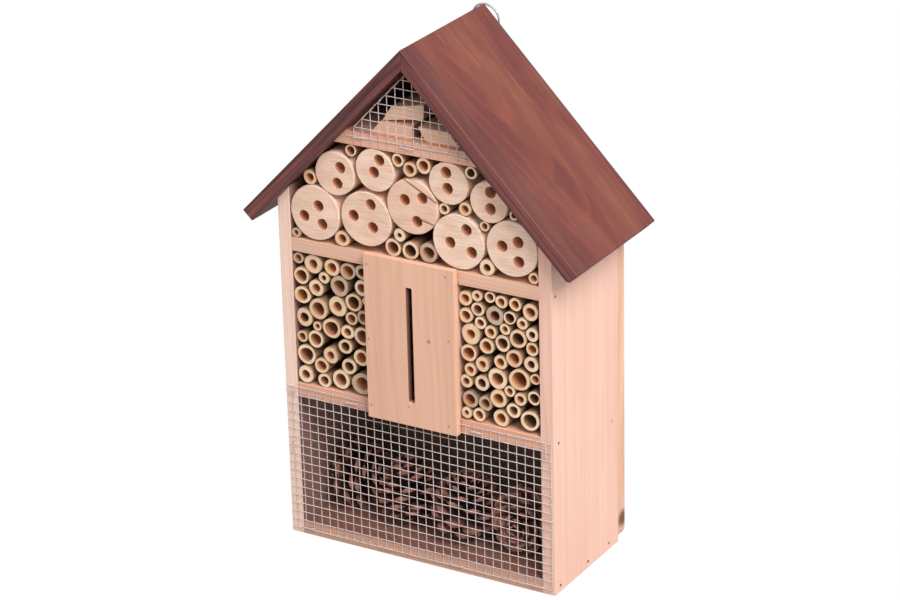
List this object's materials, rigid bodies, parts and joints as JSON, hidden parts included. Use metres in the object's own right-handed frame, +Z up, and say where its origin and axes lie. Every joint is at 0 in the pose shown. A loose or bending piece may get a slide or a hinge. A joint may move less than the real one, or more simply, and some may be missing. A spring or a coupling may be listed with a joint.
{
  "type": "insect hotel",
  "caption": "Pitched-roof wooden insect hotel with drilled logs, bamboo canes, a slotted butterfly chamber, pine cones behind wire mesh, and a hanging ring behind the ridge.",
  "frame": {"origin": "centre of the bounding box in X and Y, on the plane that the bottom board and walls stand on", "axes": "+Z up, +X to the right of someone facing the front, the front faces -Y"},
  "size_m": [0.2518, 0.1124, 0.3662],
  "materials": {
    "stained_roof": "red-brown translucent stain, satin, streaked along the grain",
    "front_panel": "planed softwood, bare, matte",
    "wall_wood": "planed pale softwood, bare, matte",
    "shelf_wood": "sawn softwood, bare, matte",
    "log_wood": "crosscut end grain with drilled holes, matte",
    "cane": "dry bamboo, pale cut ends and olive-tan skin, satin",
    "cone_scale": "dry open pine cone scales, matte",
    "offcut_wood": "sawn softwood offcuts, matte",
    "mesh_wire": "galvanised welded wire, dull",
    "staple_wire": "galvanised staple wire",
    "nail_steel": "darkened steel panel pins",
    "hanger_steel": "zinc-plated steel"
  },
  "bodies": {
    "hotel": {"back_nails": "nail_steel", "back_panel": "wall_wood", "bottom_board": "shelf_wood", "butterfly_panel": "front_panel", "drilled_log_1": "log_wood", "drilled_log_2": "log_wood", "drilled_log_3": "log_wood", "drilled_log_4": "log_wood", "drilled_log_5": "log_wood", "drilled_log_6": "log_wood", "drilled_log_7": "log_wood", "drilled_log_8": "log_wood", "drilled_log_9": "log_wood", "gable_mesh": "mesh_wire", "gable_shelf": "shelf_wood", "gable_staples": "staple_wire", "hanger_screws": "hanger_steel", "hanger_strap": "hanger_steel", "left_bay_canes": "cane", "left_divider": "shelf_wood", "left_roof_board": "stained_roof", "left_side_wall": "wall_wood", "log_bay_canes": "cane", "lower_mesh": "mesh_wire", "lower_mesh_staples": "staple_wire", "lower_shelf": "shelf_wood", "panel_pins": "nail_steel", "pine_cone_1": "cone_scale", "pine_cone_2": "cone_scale", "pine_cone_3": "cone_scale", "pine_cone_4": "cone_scale", "right_bay_canes": "cane", "right_divider": "shelf_wood", "right_roof_board": "stained_roof", "right_side_wall": "wall_wood", "upper_shelf": "shelf_wood", "wall_nails": "nail_steel", "wood_offcut_1": "offcut_wood", "wood_offcut_2": "offcut_wood", "wood_offcut_3": "offcut_wood"},
    "ring": {"hanging_ring": "hanger_steel"}
  },
  "joints": [
    {"name": "ring_swing", "type": "hinge", "parent": "hotel", "child": "ring", "pos_m": [0, 0.0535, 0.3455], "axis": [-1, 0, 0], "range_deg": [0, 184]}
  ]
}
